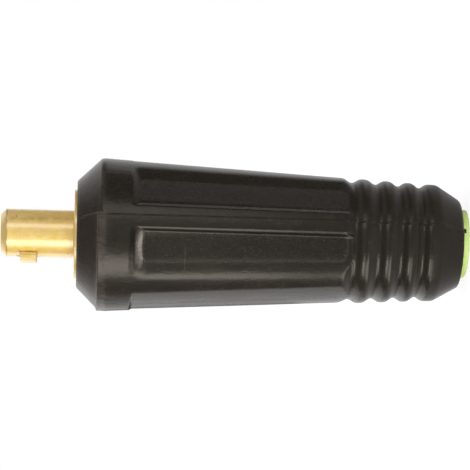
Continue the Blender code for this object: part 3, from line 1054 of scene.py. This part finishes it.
def cutRod(name, height):                                 # a rod along +X, to cut a screw's hole with
    shape = bmesh.new()
    start = contact["holeFrom"]
    end = contact["holeTo"]
    radius = contact["holeRadius"]
    place = Matrix.Translation(((start + end) / 2, 0.0, height)) @ Matrix.Rotation(pi / 2, 4, "Y")
    bmesh.ops.create_cone(
        shape, cap_ends=True, segments=48, radius1=radius, radius2=radius, depth=end - start, matrix=place,
    )
    return meshPiece(name, shape, brassFinish)


def combine(piece, operation, tools):
    for tool in tools:
        modifier = piece.modifiers.new(operation, "BOOLEAN")
        modifier.operation = operation
        modifier.solver = "EXACT"
        modifier.object = tool
    depsgraph = bpy.context.evaluated_depsgraph_get()
    mesh = bpy.data.meshes.new_from_object(piece.evaluated_get(depsgraph))
    piece.modifiers.clear()
    piece.data = mesh
    for tool in tools:
        bpy.data.objects.remove(tool, do_unlink=True)


contactNet = turnedTree("turned_contact", ("hexFlat", "stations"), contactRule, ("hexed",))
contactPiece = turn(
    "turned_contact", contactNet, contactSection(), ("hexed",), contact, brassFinish, radians(40)
)
pinRadius = contact["pinRadius"]
notch = curvedBlock(
    "notch", (pinRadius - lug["notchDepth"], pinRadius + 0.001),
    (lugTop - 0.00005, lugTop + lug["notchLength"]), pi, lug["notchHalfAngle"], 0.0,
)
block = curvedBlock(
    "lug", (pinRadius - lug["root"], pinRadius + lug["height"]),
    (lugFoot, lugTop), pi, lugHalfAngle, lug["round"],
)
strip = curvedBlock(
    "strip", (pinRadius - lug["stripRoot"], pinRadius + lug["stripHeight"]),
    (lugFoot - lug["stripLength"], lugFoot + 0.0001), pi, lug["stripHalfAngle"], 0.0,
)
combine(contactPiece, "UNION", [block, strip])
holes = [cutRod(name + "_hole", screwMiddle(name)) for name in screwBoxes]
combine(contactPiece, "DIFFERENCE", [notch] + holes)
contactPiece.data.set_sharp_from_angle(angle=radians(40))
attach(contactPiece, "plug")
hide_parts("contact_body")
print("contact made")


# Clamp screws: socket set screws with a real thread

screw = dict(
    radius=0.0040,
    length=0.0060,
    pitch=0.00125,
    threadDepth=0.00066,
    threadSlope=2.5,
    threadRoot=0.12,
    turnsAhead=40,              # keeps the count of turns above zero
    headChamfer=0.0004,
    tipChamfer=0.0008,
    keyFlat=0.0020,
    keyDepth=0.0035,
    steps=60,
    stations=96.0,
)


def screwSection():
    radius = screw["radius"]
    root = radius - screw["threadDepth"]
    foot = -screw["length"]
    points = [(0.0, foot + 0.0005, 0.0, 0.0), (0.0012, foot + 0.0004, 0.0, 0.0)]
    points += [(0.0018, foot, 0.0, 0.0), (radius - screw["tipChamfer"], foot, 0.0, 0.0)]
    for step in range(screw["steps"] + 1):
        height = foot + 0.00002 + (screw["length"] - 0.00004) * step / screw["steps"]
        lower = radius - screw["tipChamfer"] + (height - foot)
        upper = radius - screw["headChamfer"] - height
        points.append((min(radius, lower, upper), height, 1.0, 0.0))
    corner = screw["keyFlat"] / cos(pi / 6)
    points += [(root, 0.0, 0.0, 0.0), (corner + 0.00025, 0.0, 0.0, 0.0)]
    points += [(corner, -0.00025, 0.0, 1.0), (corner, -screw["keyDepth"], 0.0, 1.0)]
    points += [(0.0, -screw["keyDepth"] - 0.0009, 0.0, 0.0)]
    return points


def screwRule(net, row):
    size = net.size
    turns = row.height / size["pitch"] - row.angle / (2 * pi) + screw["turnsAhead"]
    tooth = net.bounded(net.math("PINGPONG", turns, 0.5) * screw["threadSlope"] - screw["threadRoot"])
    threaded = size["radius"] - size["threadDepth"] * tooth
    radius = row.radius + (net.least(threaded, row.radius) - row.radius) * row.threaded
    flat = net.math("WRAP", row.angle, pi / 6, -pi / 6)
    hexed = net.least(size["keyFlat"] / net.math("COSINE", flat), row.radius)
    return radius + (hexed - radius) * row.hexed, {}


def layScrew(net):
    place = net.vector(net.size["head"], 0.0, net.size["middle"])
    return {"Translation": place, "Rotation": (0.0, pi / 2, 0.0)}


screwInputs = ("radius", "pitch", "threadDepth", "keyFlat", "head", "middle", "stations")
screwValues = ("threaded", "hexed")
screwNet = turnedTree("set_screw", screwInputs, screwRule, screwValues, lay=layScrew)
for name, body in (("clamp_screw_front", "front_screw"), ("clamp_screw_rear", "rear_screw")):
    sizes = {**screw, "head": screwBoxes[name][1].x, "middle": screwMiddle(name)}
    piece = turn(
        "threaded_" + name, screwNet, screwSection(), screwValues, sizes, steelFinish, radians(38)
    )
    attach(piece, body)
    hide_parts(name)


# Liner in the cable entry

liner = dict(wall=0.00215, mouth=0.0008, edge=0.0003, waver=0.00040, stations=160.0)


def linerSection():
    inner = linerRadius - liner["wall"]
    edge = liner["edge"]
    points = [(inner, linerFoot + liner["mouth"], 0.0), (inner + liner["mouth"], linerFoot, 0.3)]
    points += [(linerRadius - edge - 0.0001, linerFoot, 1.0)]
    for radius, height in arcPoints((linerRadius - edge, linerFoot + edge), edge, -90.0, 0.0, 5)[1:]:
        points.append((radius, height, 1.0))
    points += [(linerRadius, linerFoot + 0.0008, 0.6), (linerRadius, linerFoot + 0.0013, 0.2)]
    for radius, height in linePoints((linerRadius, linerFoot + 0.0018), (linerRadius, linerTop - edge), 8):
        points.append((radius, height, 0.0))
    points += [(linerRadius, linerTop - edge, 0.0), (linerRadius - edge, linerTop, 0.0)]
    points += [(inner + edge, linerTop, 0.0), (inner, linerTop - edge, 0.0), points[0]]
    return points


def linerRule(net, row):
    spot = net.vector(net.math("COSINE", row.angle), net.math("SINE", row.angle), row.height * 100)
    dent = net.most(net.noise(spot, 4.0, 3.0, 0.6) - 0.45, 0.0)
    return row.radius - dent * row.cut * net.size["waver"], {}


linerNet = turnedTree("soft_liner", ("waver", "stations"), linerRule, ("cut",))
linerPiece = turn("soft_liner", linerNet, linerSection(), ("cut",), liner, limeFinish, radians(40))
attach(linerPiece, "plug")
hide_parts("cable_liner")


# Shred of rubber that the mould left on the parting line, over the liner's end
flash = dict(
    inner=0.0090,
    outer=0.0099,
    foot=0.0010,
    top=0.0021,
    angle=radians(-86.0),
    halfAngle=radians(3.4),
    round=0.00015,
    steps=4,
)
flashPiece = curvedBlock(
    "rubber_flash", (flash["inner"], flash["outer"]), (flash["foot"], flash["top"]),
    flash["angle"], flash["halfAngle"], flash["round"], rubberFinish, flash["steps"],
)
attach(flashPiece, "plug")


# Copper ferrule: a strip rolled to a tube that doesn't quite close

ferrule = dict(radius=0.0049, offset=-0.0008, wall=0.0005, slit=0.0012, steps=64, flare=0.00012)


def ferruleMesh():
    shape = bmesh.new()
    half = pi - ferrule["slit"] / 2 / ferrule["radius"]
    rings = []
    levels = [ferruleFoot, ferruleFoot + 0.0002]
    levels += [ferruleFoot + (ferruleTop - ferruleFoot) * share for share in (0.25, 0.5, 0.75)]
    levels += [ferruleTop - 0.0002, ferruleTop]
    for level in levels:
        thin = ferrule["flare"] if level in (ferruleFoot, ferruleTop) else 0.0
        ring = []
        inner = ferrule["radius"] - ferrule["wall"] + thin
        for radius, order in ((ferrule["radius"] - thin, 1), (inner, -1)):
            for step in range(ferrule["steps"] + 1):
                angle = order * half * (2 * step / ferrule["steps"] - 1)
                spot = (ferrule["offset"] + radius * cos(angle), radius * sin(angle), level)
                ring.append(shape.verts.new(spot))
        rings.append(ring)
    count = len(rings[0])
    for lower, upper in zip(rings, rings[1:]):
        for index in range(count):
            following = (index + 1) % count
            shape.faces.new((lower[index], lower[following], upper[following], upper[index]))
    for ring in (rings[0], rings[-1]):
        for index in range(ferrule["steps"]):
            mirrored = count - 1 - index
            shape.faces.new((ring[index], ring[index + 1], ring[mirrored - 1], ring[mirrored]))
    return shape


ferrulePiece = meshPiece("rolled_ferrule", ferruleMesh(), copperFinish)
ferrulePiece.data.shade_smooth()
ferrulePiece.data.set_sharp_from_angle(angle=radians(40))
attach(ferrulePiece, "plug")
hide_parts("strand_ferrule")


# Camera, floor and studio light

view = dict(
    azimuth=radians(-107.8),    # direction from the plug to the camera, from +X
    dip=radians(3.65),          # how far the camera looks down
    roll=radians(1.45),
    aim=0.06413,                # height on the axis that it looks at
    lift=0.000886,
    distance=0.66445,
    lens=183.6,
    keystone=radians(7.0),      # the photograph is a part of a wider one
    sensor=36.0,
)


def toward(azimuth):
    return Vector((cos(azimuth), sin(azimuth), 0.0))


photoSide = toward(view["azimuth"])
photoUp = toward(view["azimuth"] + pi / 2)


def placeCamera():
    up = Vector((0.0, 0.0, 1.0))
    back = photoSide * cos(view["dip"]) + up * sin(view["dip"])
    level = photoSide * sin(view["dip"]) - up * cos(view["dip"])
    right = level * cos(view["roll"]) + photoUp * sin(view["roll"])
    top = photoUp * cos(view["roll"]) - level * sin(view["roll"])
    data = bpy.data.cameras.new("photo_camera")
    data.sensor_width = view["sensor"]
    data.lens = view["lens"] * cos(view["keystone"])
    data.shift_y = data.lens * tan(view["keystone"]) / view["sensor"]
    data.clip_start = 0.01
    data.clip_end = 20.0
    camera = bpy.data.objects.new("photo_camera", data)
    bpy.context.scene.collection.objects.link(camera)
    spot = up * view["aim"] + top * view["lift"] + back * view["distance"]
    leanedBack = back * cos(view["keystone"]) + top * sin(view["keystone"])
    leanedTop = top * cos(view["keystone"]) - back * sin(view["keystone"])
    columns = [tuple(vector) for vector in (right, leanedTop, leanedBack, spot)]
    rows = [[column[line] for column in columns] for line in range(3)]
    camera.matrix_world = Matrix(rows + [[0.0, 0.0, 0.0, 1.0]])
    bpy.context.scene.camera = camera


placeCamera()

studio = dict(
    room=0.80,                  # the room on the camera's side
    ceiling=0.42,
    shade=0.30,                 # dark wall on the picture's upper side
    gap=0.40,                   # between the key lamp and the card
    backdrop=1.05,
    card=1.60,                  # bright card behind, on the picture's lower side
    levelHeights=(0.35, 0.70),  # where the walls give way to floor and ceiling, as shares of straight up
    ceilingFrom=(0.40, 0.80),
    behindFrom=(-0.15, -0.50),  # the next ones are where each wall begins and is full, as cosines
    backdropFrom=(-0.84, -0.96),
    shadeFrom=(0.48, 0.74),
    gapFrom=(-0.90, -0.97),
    cardFrom=(0.0, -0.3),
    floorColour=(0.80, 0.80, 0.80, 1.0),
    floorGlow=1.50,
    floorShare=0.55,
    floorAhead=0.60,            # part of the glow that the plug's front reflects
    floorSpan=(0.25, 0.80),     # distances between which the floor fades to white
    floorBehind=(0.03, 0.12),
    floorFront=(0.14, 0.06),
    floorBelow=(0.05, -0.01),   # only the floor on the picture's lower side
)


def lightWorld():
    world = bpy.data.worlds.new("studio")
    bpy.context.scene.world = world
    net = clearNet(world)
    direction = net.wire("ShaderNodeTexCoord")

    def facing(vector):
        product = {"operation": "DOT_PRODUCT"}
        return net.wire("ShaderNodeVectorMath", product, {0: direction, 1: tuple(vector)}, 1)

    ahead = facing(photoSide)
    above = facing(photoUp)
    upward = facing((0.0, 0.0, 1.0))
    level = 1 - net.ease(abs(upward), *studio["levelHeights"])
    behind = net.ease(ahead, *studio["behindFrom"])
    backdrop = net.ease(ahead, *studio["backdropFrom"])
    shade = net.ease(above, *studio["shadeFrom"]) * level * (1 - backdrop)
    gap = net.ease(above, *studio["gapFrom"]) * level
    card = net.ease(above, *studio["cardFrom"]) * behind * level

    def mixed(first, second, share):
        return first + (second - first) * share

    glow = mixed(studio["room"], studio["ceiling"], net.ease(upward, *studio["ceilingFrom"]))
    glow = mixed(glow, studio["backdrop"], behind)
    glow = mixed(glow, studio["card"], card)
    glow = mixed(glow, studio["gap"], gap)
    glow = mixed(glow, studio["shade"], shade)
    path = net.node("ShaderNodeLightPath")
    shown = Wire(net, path.outputs["Is Camera Ray"]) + Wire(net, path.outputs["Is Transmission Ray"])
    shown = net.bounded(shown + Wire(net, path.outputs["Is Glossy Ray"]) * backdrop)
    white = {"Color": (1.0, 1.0, 1.0, 1.0), "Strength": mixed(glow, 1.0, shown)}
    net.node("ShaderNodeOutputWorld", None, {"Surface": net.wire("ShaderNodeBackground", None, white)})


# A matt floor that looks white and keeps the shadow; its glow is for the camera and for reflections
def layFloor():
    material = bpy.data.materials.new("pale_floor")
    net = clearNet(material)
    x, y, _ = net.parts(net.place())
    away = net.reach(x, y)
    far = net.ease(away, *studio["floorSpan"])
    behind = net.ease(x * -photoSide.x + y * -photoSide.y, *studio["floorBehind"])
    ahead = net.ease(away, *studio["floorFront"]) * studio["floorAhead"]
    ahead = ahead * net.ease(x * photoUp.x + y * photoUp.y, *studio["floorBelow"])
    path = net.node("ShaderNodeLightPath")
    glossy = Wire(net, path.outputs["Is Glossy Ray"]) * net.most(behind, ahead)
    shown = Wire(net, path.outputs["Is Camera Ray"]) + Wire(net, path.outputs["Is Transmission Ray"])
    share = studio["floorShare"] + (1 - studio["floorShare"]) * far
    strength = studio["floorGlow"] + (1 - studio["floorGlow"]) * far
    matt = net.wire("ShaderNodeBsdfDiffuse", None, {"Color": studio["floorColour"]})
    white = net.wire("ShaderNodeEmission", None, {"Strength": strength})
    mixed = {0: net.bounded(shown + glossy) * share, 1: matt, 2: white}
    mixed = net.wire("ShaderNodeMixShader", None, mixed)
    net.node("ShaderNodeOutputMaterial", None, {"Surface": mixed})
    shape = bmesh.new()
    bmesh.ops.create_circle(shape, cap_ends=True, segments=64, radius=4.0)
    floor = meshPiece("pale_floor", shape, material)


# Angles in degrees; lean tips a lamp's top away from the plug
lamps = dict(
    key=dict(azimuth=-157.8, distance=0.36, width=0.20, height=0.12, middle=0.135, lean=0.0, radiance=1.8),
    lowKey=dict(
        azimuth=-154.0, distance=0.24, width=0.134, height=0.162, middle=0.061, lean=61.0, radiance=4.7,
    ),
    edge=dict(
        azimuth=-126.5, distance=0.058, width=0.045, height=0.022, middle=0.012, lean=65.0,
        radiance=0.36, spread=24.0,
    ),
    crest=dict(azimuth=-157.0, distance=0.09, width=0.06, height=0.06, middle=0.006, lean=84.0, radiance=3.6),
    foot=dict(
        azimuth=-107.8, distance=0.045, width=0.05, height=0.003, middle=0.002, lean=0.0,
        radiance=0.80, spread=20.0,
    ),
    fill=dict(azimuth=-70.8, distance=0.40, width=0.14, height=0.30, middle=0.155, lean=0.0, radiance=1.7),
)


def hangLamps():
    for name, lamp in lamps.items():
        data = bpy.data.lights.new(name + "_softbox", "AREA")
        data.shape = "RECTANGLE"
        data.size = lamp["width"]
        data.size_y = lamp["height"]
        data.energy = lamp["radiance"] * pi * lamp["width"] * lamp["height"]
        data.spread = radians(lamp.get("spread", 180.0))
        box = bpy.data.objects.new(name + "_softbox", data)
        bpy.context.scene.collection.objects.link(box)
        out = toward(radians(lamp["azimuth"]))
        up = Vector((0.0, 0.0, 1.0))
        spot = out * lamp["distance"] + up * lamp["middle"]
        lean = radians(lamp["lean"])
        rise = up * cos(lean) + out * sin(lean)
        back = out * cos(lean) - up * sin(lean)
        columns = [tuple(vector) for vector in (rise.cross(back), rise, back, spot)]
        rows = [[column[line] for column in columns] for line in range(3)]
        box.matrix_world = Matrix(rows + [[0.0, 0.0, 0.0, 1.0]])
        box.visible_camera = False


cards = dict(
    upper=dict(
        azimuth=-25.8, distance=0.16, foot=0.0005, width=0.16, height=0.24, colour=(0.38, 0.36, 0.33, 1.0),
    ),
    pin=dict(
        azimuth=-25.8, distance=0.155, foot=0.128, width=0.16, height=0.09, colour=(0.82, 0.80, 0.76, 1.0),
    ),
    under=dict(
        azimuth=88.0, distance=0.10, foot=0.036, width=0.05, height=0.064, colour=(0.10, 0.09, 0.08, 1.0),
    ),
    lower=dict(
        azimuth=-195.0, distance=0.16, foot=0.0005, width=0.060, height=0.24, colour=(0.60, 0.57, 0.52, 1.0),
    ),
)


# Cards beside the picture, which the rubber and the brass reflect and the camera doesn't see
def standCards():
    for name, card in cards.items():
        material = bpy.data.materials.new(name + "_card")
        net = clearNet(material)
        matt = net.wire("ShaderNodeBsdfDiffuse", None, {"Color": card["colour"]})
        net.node("ShaderNodeOutputMaterial", None, {"Surface": matt})
        out = toward(radians(card["azimuth"]))
        across = Vector((-out.y, out.x, 0.0)) * card["width"] / 2
        foot = out * card["distance"] + Vector((0.0, 0.0, card["foot"]))
        rise = Vector((0.0, 0.0, card["height"]))
        shape = bmesh.new()
        corners = (foot - across, foot + across, foot + across + rise, foot - across + rise)
        shape.faces.new([shape.verts.new(corner) for corner in corners])
        piece = meshPiece(name + "_card", shape, material)
        piece.visible_camera = False


lightWorld()
layFloor()
standCards()
hangLamps()
print("studio lit")
